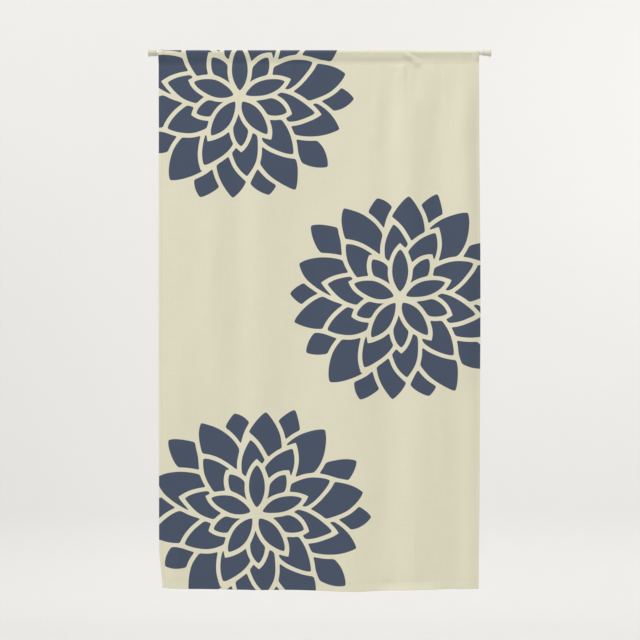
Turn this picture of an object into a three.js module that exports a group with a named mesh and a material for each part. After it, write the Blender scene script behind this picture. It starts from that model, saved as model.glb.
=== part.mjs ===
// A noren, a short doorway curtain, hanging by its sewn sleeve from a spring tension rod that two posts would hold.
// Millimetres, +Z up. The origin is the centre of the left rubber foot's face, +X runs along the rod to the right
// foot, and the printed front of the cloth looks along -Y.
import * as THREE from "three";

// The rod
const ROD_SPAN = 907; // from one foot's face to the other, the width of the doorway
const OUTER_TUBE_RADIUS = 6.5;
const INNER_TUBE_RADIUS = 5.2;
const RUNNING_GAP = 0.3; // between pieces that touch on the real thing
const OUTER_TUBE_END = 687; // where the thick tube ends and the thin one comes out of it
const INNER_TUBE_START = 560; // how far back the thin tube reaches inside the thick one
const TUBE_SIDES = 40;
const TUBE_EDGE_BREAK = 0.3; // the softened rim at each tube's ends

// The rubber feet
const FOOT_RADIUS = 9.5;
const FOOT_LENGTH = 22;
const FOOT_FLOOR = 4; // rubber between the post and the tube's end
const FOOT_RIM = 3; // the straight band at the face, before the taper
const FOOT_WALL = 1.1; // rubber around the tube at the foot's thin end
const FOOT_EDGE_BREAK = 0.6;

// The cloth
const CLOTH_LEFT = 27; // the left edge's distance from the left post
const CLOTH_WIDTH = 850;
const CLOTH_THICKNESS = 1.2;
const SLEEVE_SEAM = 30; // how far below the rod's axis the sleeve is sewn, in the middle of the cloth
const SEAM_SLANT = 2.5; // how much lower the seam runs at the left edge, and higher at the right one
const SEAM_MARGIN = 5.5; // from the point where the sleeve's two layers meet down to the turned edge
const HEM_LEVEL = 1421; // how far below the axis the bottom hem hangs
const SIDE_HEM = 12;
const BOTTOM_HEM = 25;
const HEM_STEP = 1; // the slope from the turned hem down to the single cloth
const PANEL_DROP = HEM_LEVEL - SLEEVE_SEAM;

// The grid over the cloth
const COLUMN_PITCH = 29;
const ROW_PITCH = 44;
const SLEEVE_ARC_STEPS = 12;
const SLEEVE_SIDE_STEPS = 3;
const ROD_STEP_LENGTH = 28; // over which the cloth comes down from the thick tube to the thin one
const ROD_STEP_CLEAR = 3; // how far past the thick tube's end that starts

// Soft vertical folds. across is measured from the cloth's left edge, from and to down from the sleeve's seam, width
// is how far the fold spreads to each side, rise is how far it comes forward, and lean is how far it wanders
// sideways on the whole drop.
const FOLDS = [
  { across: 20, from: 60, to: 1150, width: 24, rise: -2.4, lean: 4 },
  { across: 136, from: 120, to: 860, width: 40, rise: 4.2, lean: 26 },
  { across: 208, from: 150, to: 760, width: 32, rise: -2.6, lean: 22 },
  { across: 276, from: 180, to: 1080, width: 44, rise: 3.8, lean: -24 },
  { across: 392, from: 240, to: 980, width: 52, rise: -3.2, lean: -30 },
  { across: 120, from: 820, to: 1700, width: 62, rise: -4.4, lean: -20 },
  { across: 246, from: 900, to: 1700, width: 56, rise: 4.2, lean: 16 },
  { across: 505, from: 520, to: 1700, width: 74, rise: 6.4, lean: 10 },
  { across: 608, from: 0, to: 470, width: 27, rise: -2.8, lean: -12 },
  { across: 664, from: 0, to: 540, width: 30, rise: 4.4, lean: 14 },
  { across: 742, from: 20, to: 610, width: 30, rise: -3.2, lean: 10 },
  { across: 808, from: 10, to: 760, width: 28, rise: 4.0, lean: -6 },
  { across: 600, from: 760, to: 1700, width: 42, rise: -3.6, lean: 12 },
  { across: 690, from: 800, to: 1700, width: 46, rise: 5.6, lean: -16 },
  { across: 782, from: 720, to: 1700, width: 44, rise: -5.2, lean: 18 },
];
const FOLD_EASE = 170; // the length over which a fold begins and ends

// Where the bottom edge hangs lower or higher than its level
const HEM_DIPS = [
  { across: 505, width: 120, drop: 4.5 },
  { across: 700, width: 56, drop: -1.6 },
  { across: 0, width: 60, drop: -2.0 },
];

// How each side edge runs: inset is how far it stands in from the nominal edge, at that share of the panel's drop
const LEFT_EDGE = [
  { share: 0, inset: 0 },
  { share: 0.5, inset: -0.6 },
  { share: 0.92, inset: 0.6 },
  { share: 1, inset: 8 },
];
const RIGHT_EDGE = [
  { share: 0, inset: 1.6 },
  { share: 0.08, inset: 0.4 },
  { share: 0.42, inset: -3.2 },
  { share: 0.8, inset: -1.2 },
  { share: 1, inset: 1.6 },
];

// How the side edges curl back, over the last few centimetres
const EDGE_CURLS = [
  { side: "right", reach: 44, back: 5.0, from: 0, to: 1700 },
  { side: "left", reach: 34, back: 2.2, from: 0, to: 1700 },
  { side: "left", reach: 60, back: 7.0, from: 1230, to: 1700 },
];

function smooth(t) {
  const k = Math.min(Math.max(t, 0), 1);
  return k * k * (3 - 2 * k);
}

function bump(distance, width) {
  return Math.exp(-((distance / width) ** 2));
}

function lerp(a, b, t) {
  return a + (b - a) * t;
}

// The inset of a side edge at a share of the drop, smoothly between the rows of its table
function insetAt(table, share) {
  const next = Math.max(
    table.findIndex((row) => row.share >= share),
    1,
  );
  const [low, high] = [table[next - 1], table[next]];
  return lerp(low.inset, high.inset, smooth((share - low.share) / (high.share - low.share)));
}

// How far a fold or curl has come in at a distance below the seam
function grown(row, below) {
  return smooth((below - row.from) / FOLD_EASE) * (1 - smooth((below - row.to) / FOLD_EASE));
}

// How far the panel stands forward of its plane, across from the left edge and below the seam
function forward(across, below) {
  let depth = 0;
  for (const fold of FOLDS) {
    const middle = fold.across + (fold.lean * below) / PANEL_DROP;
    depth += fold.rise * grown(fold, below) * bump(across - middle, fold.width);
  }
  for (const curl of EDGE_CURLS) {
    const inside = curl.side === "left" ? across : CLOTH_WIDTH - across;
    depth -= curl.back * smooth((below - curl.from) / FOLD_EASE) * smooth(1 - inside / curl.reach) ** 2;
  }
  return depth;
}

// Where a point of the cloth lies along the rod: the side edges aren't quite straight
function alongRod(across, below) {
  const share = Math.min(Math.max(below, 0) / PANEL_DROP, 1);
  const left = insetAt(LEFT_EDGE, share);
  const right = insetAt(RIGHT_EDGE, share);
  return CLOTH_LEFT + lerp(left, CLOTH_WIDTH - right, across / CLOTH_WIDTH);
}

// How far below the rod's axis the seam is
function seamLevel(across) {
  return SLEEVE_SEAM + SEAM_SLANT * (1 - (2 * across) / CLOTH_WIDTH);
}

// The height of a row of the panel: below is counted at the nominal length, and the slant fades towards the hem
function heightAt(across, below) {
  let dip = 0;
  for (const row of HEM_DIPS) {
    dip += row.drop * bump(across - row.across, row.width);
  }
  return -lerp(seamLevel(across), SLEEVE_SEAM, below / PANEL_DROP) - below - (dip * below) / PANEL_DROP;
}

// The radius that the cloth's inside keeps over the rod, which steps down where the thin tube begins
function clothInside(x) {
  const passed = (x - OUTER_TUBE_END - ROD_STEP_CLEAR) / ROD_STEP_LENGTH;
  return lerp(OUTER_TUBE_RADIUS, INNER_TUBE_RADIUS, smooth(passed)) + RUNNING_GAP;
}

// The sleeve's cross-section: from the point where its layers meet, up the front, over the rod and down the back.
// Each step has an inner and an outer point, as [y, z].
function sleeveSection(x, meet) {
  const inside = clothInside(x);
  const tangent = Math.acos(inside / meet); // from straight down to where the cloth leaves the rod
  const facet = Math.cos((Math.PI - tangent) / SLEEVE_ARC_STEPS); // keeps the flat facets as far out as the round
  const steps = [];
  const add = (y, z, ny, nz) =>
    steps.push({ inner: [y, z], outer: [y + ny * CLOTH_THICKNESS, z + nz * CLOTH_THICKNESS] });
  const onArc = (angle) => [-Math.sin(angle), -Math.cos(angle)];
  const [frontY, frontZ] = onArc(tangent);
  for (let k = 0; k < SLEEVE_SIDE_STEPS; k++) {
    const t = k / SLEEVE_SIDE_STEPS;
    add(inside * frontY * t, lerp(-meet, inside * frontZ, t), frontY, frontZ);
  }
  for (let k = 0; k <= SLEEVE_ARC_STEPS; k++) {
    const [y, z] = onArc(lerp(tangent, 2 * Math.PI - tangent, k / SLEEVE_ARC_STEPS));
    add((inside * y) / facet, (inside * z) / facet, y, z);
  }
  for (let k = SLEEVE_SIDE_STEPS - 1; k >= 0; k--) {
    const t = k / SLEEVE_SIDE_STEPS;
    add(-inside * frontY * t, lerp(-meet, inside * frontZ, t), -frontY, frontZ);
  }
  return steps;
}

// Stations along one direction: its two ends, the hem's edges and an even pitch between
function stations(hemStart, hemEnd, length, pitch, extras = []) {
  const marks = [0, length, ...extras];
  if (hemStart) marks.push(hemStart, hemStart + HEM_STEP);
  if (hemEnd) marks.push(length - hemEnd, length - hemEnd - HEM_STEP);
  marks.sort((a, b) => a - b);
  const all = [];
  marks.forEach((mark, i) => {
    if (i > 0) {
      const parts = Math.max(1, Math.round((mark - marks[i - 1]) / pitch));
      for (let k = 1; k < parts; k++) all.push(lerp(marks[i - 1], mark, k / parts));
    }
    all.push(mark);
  });
  return all;
}

// How thick the cloth is, with its turned hems on the back
function thicknessAt(across, below) {
  const toSide = Math.min(across, CLOTH_WIDTH - across);
  const toBottom = PANEL_DROP - below;
  const turned = Math.max(
    smooth((SIDE_HEM + HEM_STEP - toSide) / HEM_STEP),
    smooth((BOTTOM_HEM + HEM_STEP - toBottom) / HEM_STEP),
  );
  return CLOTH_THICKNESS * (1 + turned);
}

// The whole cloth as one closed mesh: each column is a section across the cloth's thickness, with the sleeve's
// tunnel as a second loop, and neighbouring columns are joined by quads.
function clothGeometry() {
  const rodStep = OUTER_TUBE_END + ROD_STEP_CLEAR - CLOTH_LEFT;
  const columns = stations(SIDE_HEM, SIDE_HEM, CLOTH_WIDTH, COLUMN_PITCH, [
    rodStep,
    rodStep + ROD_STEP_LENGTH,
  ]);
  const rows = stations(0, BOTTOM_HEM, PANEL_DROP, ROW_PITCH).reverse(); // from the bottom edge up to the seam
  const positions = [];
  const triangles = [];
  const point = (x, y, z) => positions.push(x, y, z) / 3 - 1;
  const triangle = (a, b, c) => triangles.push(a, b, c);
  const quad = (a, b, c, d) => {
    triangle(a, b, c);
    triangle(a, c, d);
  };

  const made = columns.map((across) => {
    const x = alongRod(across, 0);
    const section = sleeveSection(x, seamLevel(across) - SEAM_MARGIN);
    const front = [];
    const back = [];
    for (const below of rows) {
      const px = alongRod(across, below);
      const pz = heightAt(across, below);
      const face = -CLOTH_THICKNESS - forward(across, below);
      front.push(point(px, face, pz));
      back.push(point(px, face + thicknessAt(across, below), pz));
    }
    const turnedEdge = point(x, CLOTH_THICKNESS, -seamLevel(across) + HEM_STEP / 2);
    const outer = section.map(({ outer: [y, z] }) => point(x, y, z));
    const tunnel = section.slice(0, -1).map(({ inner: [y, z] }) => point(x, y, z));
    return { front, back, turnedEdge, outer, tunnel };
  });

  // The outside loop runs up the front, over the rod and down the back
  const loops = made.map(({ front, back, turnedEdge, outer }) => [
    ...front,
    ...outer,
    turnedEdge,
    ...[...back].reverse(),
  ]);
  for (let i = 1; i < made.length; i++) {
    const [a, b] = [loops[i - 1], loops[i]];
    a.forEach((_, k) => {
      const n = (k + 1) % a.length;
      quad(a[k], b[k], b[n], a[n]);
    });
    const [c, d] = [made[i - 1].tunnel, made[i].tunnel];
    c.forEach((_, k) => {
      const n = (k + 1) % c.length;
      quad(c[k], c[n], d[n], d[k]);
    });
  }

  // The side edges close each end of the sleeve's wall and of the panel
  const close = ({ front, back, turnedEdge, outer, tunnel }, flip) => {
    const face = (...corners) => {
      const order = flip ? corners.reverse() : corners;
      for (let k = 2; k < order.length; k++) triangle(order[0], order[k - 1], order[k]);
    };
    for (let k = 1; k < front.length; k++) face(front[k - 1], front[k], back[k], back[k - 1]);
    const [seamFront, seamBack] = [front[front.length - 1], back[back.length - 1]];
    const last = outer.length - 1;
    face(seamFront, outer[0], tunnel[0]);
    face(seamFront, tunnel[0], turnedEdge);
    face(seamFront, turnedEdge, seamBack);
    face(tunnel[0], outer[last], turnedEdge);
    for (let k = 1; k <= last; k++) face(outer[k - 1], outer[k], tunnel[k % last], tunnel[k - 1]);
  };
  close(made[0], false);
  close(made[made.length - 1], true);

  const geometry = new THREE.BufferGeometry();
  geometry.setAttribute("position", new THREE.Float32BufferAttribute(positions, 3));
  geometry.setIndex(triangles);
  geometry.computeVertexNormals();
  return geometry;
}

// A piece turned about the rod's axis, from [distance along X, radius] points that close on themselves or on the axis
function turned(profile) {
  const points = profile.map(([along, radius]) => new THREE.Vector2(radius, along));
  const geometry = new THREE.LatheGeometry(points, TUBE_SIDES);
  return geometry.rotateZ(-Math.PI / 2);
}

// A plain tube with softened rims
function tubeGeometry(start, end, radius, bore) {
  const edge = TUBE_EDGE_BREAK;
  return turned([
    [start, bore],
    [start, radius - edge],
    [start + edge, radius],
    [end - edge, radius],
    [end, radius - edge],
    [end, bore],
    [start, bore],
  ]);
}

// A rubber foot with its face at 0 and a blind socket for the tube, opening along +X
function footGeometry(tubeRadius) {
  const socket = tubeRadius + RUNNING_GAP;
  const mouth = socket + FOOT_WALL;
  const edge = FOOT_EDGE_BREAK;
  return turned([
    [0, 0],
    [0, FOOT_RADIUS - edge],
    [edge, FOOT_RADIUS],
    [FOOT_RIM, FOOT_RADIUS],
    [FOOT_RIM + 2 * edge, FOOT_RADIUS - edge],
    [FOOT_LENGTH - edge, mouth],
    [FOOT_LENGTH, mouth - edge],
    [FOOT_LENGTH, socket],
    [FOOT_FLOOR, socket],
    [FOOT_FLOOR, 0],
  ]);
}

const cream = new THREE.MeshStandardMaterial({ color: 0xdfdac2, roughness: 0.92, metalness: 0 });
const enamel = new THREE.MeshStandardMaterial({ color: 0xe6e2d6, roughness: 0.35, metalness: 0.1 });
const rubber = new THREE.MeshStandardMaterial({ color: 0xcfcabb, roughness: 0.75, metalness: 0 });

function piece(name, geometry, material) {
  const mesh = new THREE.Mesh(geometry, material);
  mesh.name = name;
  return mesh;
}

const tubeStart = FOOT_FLOOR + RUNNING_GAP;
const outerBore = INNER_TUBE_RADIUS + RUNNING_GAP;
const innerBore = INNER_TUBE_RADIUS - 1;

const noren = new THREE.Group();
noren.name = "noren_on_tension_rod";

const rod = new THREE.Group();
rod.add(piece("outer_tube", tubeGeometry(tubeStart, OUTER_TUBE_END, OUTER_TUBE_RADIUS, outerBore), enamel));
rod.add(
  piece(
    "inner_tube",
    tubeGeometry(INNER_TUBE_START, ROD_SPAN - tubeStart, INNER_TUBE_RADIUS, innerBore),
    enamel,
  ),
);
rod.add(piece("left_foot", footGeometry(OUTER_TUBE_RADIUS), rubber));
const rightFoot = piece("right_foot", footGeometry(INNER_TUBE_RADIUS), rubber);
rightFoot.position.x = ROD_SPAN;
rightFoot.rotation.z = Math.PI;
rod.add(rightFoot);
noren.add(rod);

noren.add(piece("cloth", clothGeometry(), cream));

export default noren;
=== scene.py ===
# A noren, a short curtain of printed cotton, hanging by its sewn sleeve from a spring tension rod.
# Lengths are in metres: +X runs along the rod from its left foot, +Z is up, and the print looks along -Y.
import math

import bpy
import numpy as np
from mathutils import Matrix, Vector


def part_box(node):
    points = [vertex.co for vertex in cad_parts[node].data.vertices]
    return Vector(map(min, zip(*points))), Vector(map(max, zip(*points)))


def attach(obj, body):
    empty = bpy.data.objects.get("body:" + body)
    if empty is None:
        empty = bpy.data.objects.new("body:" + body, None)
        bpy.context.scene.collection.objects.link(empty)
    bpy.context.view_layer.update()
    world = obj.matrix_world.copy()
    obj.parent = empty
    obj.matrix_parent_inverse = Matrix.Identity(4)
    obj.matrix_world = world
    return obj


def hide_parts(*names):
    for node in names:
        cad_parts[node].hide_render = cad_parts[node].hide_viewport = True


bl_info = {
    "name": "Noren on a tension rod",
    "version": (1, 0, 0),
    "blender": (4, 5, 0),
    "location": "View3D > Sidebar > Noren",
    "description": "Hangs a printed cotton noren from its rod, sews its stitches and sets a plain studio",
    "category": "Object",
}

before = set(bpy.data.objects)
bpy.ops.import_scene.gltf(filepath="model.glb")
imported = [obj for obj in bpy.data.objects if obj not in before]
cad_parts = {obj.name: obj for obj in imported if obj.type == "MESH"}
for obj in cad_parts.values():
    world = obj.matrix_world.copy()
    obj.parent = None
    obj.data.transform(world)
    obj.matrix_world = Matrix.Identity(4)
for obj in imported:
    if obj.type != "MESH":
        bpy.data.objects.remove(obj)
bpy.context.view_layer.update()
MM = 0.001
X, Z = 0, 2


def span(node, axis):
    """The lowest and highest coordinate of a node along an axis."""
    low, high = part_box(node)
    return low[axis], high[axis]


def records(names, *rows, unit=1.0):
    """A table's rows as records with named values, its numbers in the given unit."""
    return tuple({name: np.multiply(value, unit) for name, value in zip(names.split(), row)} for row in rows)


# Sizes read from the frame
ROD_START, LEFT_FOOT_END = span("left_foot", X)
ROD_END = span("right_foot", X)[1]
TUBE_START, TUBE_STEP = span("outer_tube", X)
THIN_START, THIN_END = span("inner_tube", X)
THICK_RADIUS = span("outer_tube", Z)[1]
THIN_RADIUS = span("inner_tube", Z)[1]
FOOT_RADIUS = span("left_foot", Z)[1]

# The cloth as it was cut and sewn
CLOTH_LEFT = 27 * MM
CLOTH_WIDTH = 850 * MM
SEAM_LEVEL = 30 * MM
SEAM_SLANT = 2.5 * MM
HEM_LEVEL = 1421 * MM
PANEL_DROP = HEM_LEVEL - SEAM_LEVEL
AIR_BETWEEN_LAYERS = 0.06 * MM
HEM_TURN_IN = 8 * MM
HEM_THINS_OVER = 1.5 * MM
TAIL_BELOW_SEAM = 3.5 * MM
TAIL_TURN_IN = 6.0 * MM

# How the sleeve lies on the rod: its layers meet a margin above the seam, and ease past the step in the rod
SEAM_MARGIN = 5.5 * MM
ROD_CLEARANCE = 0.25 * MM
ROD_STEP_CLEAR = 3 * MM
ROD_STEP_LENGTH = 28 * MM

# How far the sleeve's front bellies out over each tube, the back's share of that, where it changes from one
# tube to the other, and its waves: waves to the metre, height in millimetres and phase
THICK_SLACK = 0.7 * MM
THIN_SLACK = -0.3 * MM
BACK_SLACK = 0.6
SLACK_LEAD = 30 * MM
SLACK_CHANGE = 70 * MM
SLACK_WAVES = ((3.7, 0.25, 0.6), (9.1, 0.18, 2.0), (17.0, 0.10, 4.1))

# How the sleeve's layers come together at the seam, and how far the back one follows the panel's folds
MEET_GAP = 0.5 * MM
BACK_JOINS = 1.6
FRONT_JOINS = 2.0
FOLLOW_START = 1.2
FOLLOW_REACH = 16 * MM

# Stitch lines: how far in from a hem's edge, and below the seam, and the narrow trough that each one pulls
STITCH_INSET = 2.5 * MM
SEAM_STITCH = 1.0 * MM
DENT_DEPTH = 0.22 * MM
DENT_WIDTH = 1.6 * MM
DENT_SIDE = 1.4 * MM
SEAM_DENT = 1.4

# One stitch: its mesh, how blunt its tips are, how deep it sinks, and where the first one starts, as shares
STITCH_RINGS = 5
STITCH_SIDES = 6
STITCH_TIP = 0.02
STITCH_SINK = 0.55
FIRST_STITCH = 0.1
SEWN_MARGIN = 2 * MM
SEWN_TOP = 3 * MM
PLACES_ACROSS = 400
PLACES_DOWN = 600

# The rod's pieces: a tube's wall and rounded rims, a foot's socket, and the angle past which edges stay sharp
TUBE_WALL = 1.0 * MM
TUBE_RIM = 0.45 * TUBE_WALL
SOCKET_FLOOR = 4.0 * MM
SHARP_ANGLE = math.radians(38)

# Extra rows and columns of the mesh, in millimetres from the seam and from the rod's step
SEAM_ROWS = (-3.0, -1.2, 1.0, 2.4, 6, 10, 14, 19, 25)
LAST_ROW_ABOVE_FOLD = 2 * MM
STEP_COLUMNS = (-50, 60)
STEP_PITCH = 3 * MM
LEAST_PITCH = 0.9 * MM

# Steps of the mesh where the cloth turns: round a fold, on the hems, down a turned edge and on the sleeve
FOLD_STEPS = 5
HEM_PITCH = 4 * MM
HEM_ROWS = 5
TURN_ROWS = 2
SLOPE_STEPS = 7
ARC_STEPS = 24

# Soft vertical folds, in millimetres. across is measured from the cloth's left edge, start and end down
# from the seam. width is how far a fold spreads to each side, rise how far it comes forward, lean how far
# it wanders.
FOLD_EASE = 170 * MM
FOLDS = records(
    "across start end width rise lean",
    (20, 60, 1150, 24, -2.4, 4),
    (136, 120, 860, 40, 4.2, 26),
    (208, 150, 760, 32, -2.6, 22),
    (276, 180, 1080, 44, 3.8, -24),
    (392, 240, 980, 52, -3.2, -30),
    (120, 820, 1700, 62, -4.4, -20),
    (246, 900, 1700, 56, 4.2, 16),
    (505, 520, 1700, 74, 6.4, 10),
    (608, 0, 470, 27, -2.8, -12),
    (664, 0, 540, 30, 4.4, 14),
    (742, 20, 610, 30, -3.2, 10),
    (808, 10, 760, 28, 4.0, -6),
    (600, 760, 1700, 42, -3.6, 12),
    (690, 800, 1700, 46, 5.6, -16),
    (782, 720, 1700, 44, -5.2, 18),
    unit=MM,
)

# Where the bottom edge hangs lower or higher, in millimetres
HEM_DIPS = records("across width drop", (505, 120, 4.5), (700, 56, -1.6), (0, 60, -2.0), unit=MM)

# How the side edges stand in from straight, in millimetres at each share of the drop
LEFT_EDGE = ((0, 0), (0.5, -0.6), (0.92, 0.6), (1, 8))
RIGHT_EDGE = ((0, 1.6), (0.08, 0.4), (0.42, -3.2), (0.8, -1.2), (1, 1.6))

# How the side edges curl back, in millimetres
LEFT_CURLS = records("reach back start", (34, 2.2, 0), (60, 7.0, 1230), unit=MM)
RIGHT_CURLS = records("reach back start", (44, 5.0, 0), unit=MM)

# Creases: soft ridges, or troughs where rise is negative, from one point of the cloth's flat
# plan to another. A point is its place across and its height from the rod's axis, negative below it, in
# millimetres.
CREASE_EASE = 0.3
SLEEVE_CREASE_REACH = 30 * MM
CREASES = records(
    "start end width rise",
    ((641, 1), (687, -30), 6.5, 1.2),
    ((650, -6), (691, -32), 7.0, 1.3),
    ((658, -11), (694, -34), 8.0, 1.1),
    ((654, 3), (696, -23), 4.5, -1.0),
    ((678, -38), (684, -110), 26.0, -1.5),
    ((645, -34), (649, -66), 13.0, 1.1),
    ((688, -32), (738, -72), 9.0, 0.8),
    ((728, -4), (742, -30), 6.0, 0.9),
    ((800, 2), (806, -28), 6.0, 0.9),
    ((586, -78), (574, -240), 11.0, 0.8),
    ((646, -36), (646, -270), 13.0, 0.9),
    ((617, -50), (612, -280), 13.0, -0.7),
    ((680, -60), (676, -130), 14.0, -0.7),
    ((806, -40), (808, -230), 13.0, 1.1),
    ((746, -60), (740, -300), 18.0, -0.8),
    ((760, -140), (732, -330), 12.0, 0.8),
    ((140, -430), (142, -590), 11.0, 0.8),
    ((172, -470), (168, -680), 12.0, -0.7),
    ((676, -1262), (675, -1364), 4.5, 0.8),
    ((606, -1338), (607, -1396), 14.0, 1.3),
    ((588, -1424), (742, -1421), 9.0, 4.2),
    ((700, -1386), (774, -1384), 14.0, -1.0),
    ((560, -1180), (600, -1290), 26.0, -1.2),
    ((748, -930), (752, -1120), 20.0, 1.3),
    ((430, -912), (432, -958), 5.0, -0.6),
    ((60, -1300), (20, -1405), 16.0, 1.6),
    ((540, -560), (560, -760), 24.0, 0.9),
    ((330, -1010), (318, -1240), 18.0, 0.9),
    unit=MM,
)

# Fine gathers under the seam: waves to the metre, height in millimetres and phase
SEAM_GATHERS = ((21, 0.20, 0.4), (34, 0.22, 2.1), (47, 0.16, 4.0), (63, 0.12, 1.2), (88, 0.07, 5.3))
GATHER_START = 8 * MM
GATHER_REACH = 55 * MM

# Slow waves over the whole panel: waves to the metre across and down, height in millimetres and phase
PANEL_WAVES = ((3.1, 0.9, 0.35, 0.7), (5.3, 1.7, 0.28, 2.9), (8.9, 2.3, 0.18, 4.4), (13.0, 4.1, 0.10, 1.3))
WAVE_START = 60 * MM

# The rings of one bloom, five petals each. turn is the first petal's direction in degrees, base and tip are
# distances from the ring's middle, and half is the petal's half width, in millimetres. A ring's own middle
# lies a few millimetres right of and above the bloom's, and uneven is how much its petals differ.
RING_VALUES = "turn base tip half right above uneven"
OUTER_RINGS = records(
    RING_VALUES,
    (69, 130, 293, 40, -4, 5, 1.0),
    (33, 130, 293, 40, 6, -9, 1.0),
    (50, 60, 287, 50, -3, 5, 1.0),
    (14, 60, 287, 50, 2, -13, 1.0),
)
WOVEN_RINGS = records(RING_VALUES, (25, 20, 207, 37, 7, -6, 0.8), (61, 20, 207, 37, -6, -7, 0.8))
HEART_RINGS = records(RING_VALUES, (54, 36, 129, 22, 4, -5, 0.5), (18, 14, 128, 21.5, -1, -2, 0.4))
PETALS_PER_RING = 5
OUTER_SQUEEZE = (0.975, 1.03, 1.0)
BLOOM_LINE = 11 * MM
PETAL_ROUNDING = 2.9 * MM
LINE_BLEND = 2.6

# How much single petals may differ: a swing in radians of their direction, and of their length and width as
# shares
DIRECTION_SWING = 0.07
LENGTH_SWING = 0.06
WIDTH_SWING = 0.16
SEED_STEP = 7.31

# The print's slow bending and its ragged edge
BEND_SCALE = 9.0
BEND_REACH = (14 * MM, 14 * MM, 0.0)
RAGGED_SCALE = 900.0
RAGGED_REACH = 0.5 * MM
INK_EDGE = 0.25 * MM

# The weave: where its threads cross, its slubs along and across, its clouds and its relief
HUMP_CROSSING = 0.25
SLUB_SCALES = ((1500.0, 13.0, 1.0), (13.0, 1300.0, 1.0))
SLUB_SHADE = 0.11
SLUB_HEIGHT = 0.8
CLOUD_SCALE = 11.0
CLOUD_SHADE = 0.03
WEAVE_RELIEF = 0.12 * MM
WEAVE_STRENGTH = 0.6
GROUND_ROUGHNESS = 0.93
INK_ROUGHNESS = 0.84

# Smudges on the hard pieces, and how much finer their grain is
SMUDGE_SHADE = 0.12
SMUDGE_ROUGHNESS = 0.25
GRAIN_SCALE = 22.0

# How much ink the stitches and the cloth's back take, and a place on the flat plan where nothing is printed
THREAD_INK = 0.85
BACK_INK = 0.5
BACK_SHADE = 0.94
OFF_PRINT = -1.0

# The blooms' centres on the cloth's flat plan: from the left edge, and below the rod's axis
BLOOM_CENTRES = ((0.2148, -0.1107), (0.6369, -0.6469), (0.2595, -1.2186))

# The stage: where its floor starts and its backdrop ends, the bend between them, the lights and the picture
FLOOR_FRONT = -6.0
STAGE_LEFT, STAGE_RIGHT = -6.0, 7.0
BACKDROP_TOP = 4.0
BACKDROP_BEND = 0.5
BEND_STEPS = 16
STAGE_COLUMNS = 14
SKY_COLOUR = (1.0, 0.985, 0.96, 1.0)
PICTURE_WIDTH = 1.695
PICTURE_MIDDLE = (0.4544, -0.707)
SENSOR_WIDTH = 36.0


# Property groups


class NorenClothSettings(bpy.types.PropertyGroup):
    """Sizes and colours of the cloth"""

    thickness: bpy.props.FloatProperty(
        name="Thickness",
        description="Thickness of one layer of cloth",
        default=0.55 * MM,
        unit="LENGTH",
        precision=5,
    )
    column_pitch: bpy.props.FloatProperty(
        name="Column pitch",
        description="Distance between the mesh's columns",
        default=6 * MM,
        unit="LENGTH",
    )
    row_pitch: bpy.props.FloatProperty(
        name="Row pitch",
        description="Distance between the mesh's rows",
        default=8.5 * MM,
        unit="LENGTH",
    )
    fold_strength: bpy.props.FloatProperty(
        name="Fold strength",
        description="Multiplies the height of every fold and crease",
        default=1.0,
        min=0.0,
    )
    side_hem: bpy.props.FloatProperty(
        name="Side hem",
        description="Width of the turned hem at each side",
        default=12 * MM,
        unit="LENGTH",
    )
    bottom_hem: bpy.props.FloatProperty(
        name="Bottom hem",
        description="Height of the turned hem at the bottom",
        default=25 * MM,
        unit="LENGTH",
    )
    thread_pitch: bpy.props.FloatProperty(
        name="Thread pitch",
        description="Distance between neighbouring threads",
        default=0.6 * MM,
        unit="LENGTH",
    )
    ground: bpy.props.FloatVectorProperty(
        name="Ground",
        description="Colour of the undyed cotton",
        default=(0.725, 0.692, 0.532),
        subtype="COLOR",
    )
    ink: bpy.props.FloatVectorProperty(
        name="Ink",
        description="Colour of the printed blooms",
        default=(0.059, 0.079, 0.122),
        subtype="COLOR",
    )


class NorenStitchSettings(bpy.types.PropertyGroup):
    """Sizes and colour of the sewing"""

    pitch: bpy.props.FloatProperty(
        name="Pitch",
        description="Distance from one stitch to the next",
        default=3.0 * MM,
        unit="LENGTH",
    )
    length: bpy.props.FloatProperty(
        name="Length",
        description="Length of one stitch as it shows",
        default=2.1 * MM,
        unit="LENGTH",
    )
    radius: bpy.props.FloatProperty(
        name="Radius",
        description="Radius of the thread",
        default=0.17 * MM,
        unit="LENGTH",
        precision=5,
    )
    colour: bpy.props.FloatVectorProperty(
        name="Colour",
        description="Colour of the thread",
        default=(0.47, 0.45, 0.355),
        subtype="COLOR",
    )


class NorenRodSettings(bpy.types.PropertyGroup):
    """Finish of the rod and its feet"""

    sides: bpy.props.IntProperty(
        name="Sides",
        description="Sides of each turned piece",
        default=96,
        min=24,
    )
    enamel: bpy.props.FloatVectorProperty(
        name="Enamel",
        description="Colour of the tubes' enamel",
        default=(0.76, 0.74, 0.66),
        subtype="COLOR",
    )
    rubber: bpy.props.FloatVectorProperty(
        name="Rubber",
        description="Colour of the feet",
        default=(0.66, 0.63, 0.54),
        subtype="COLOR",
    )


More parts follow.
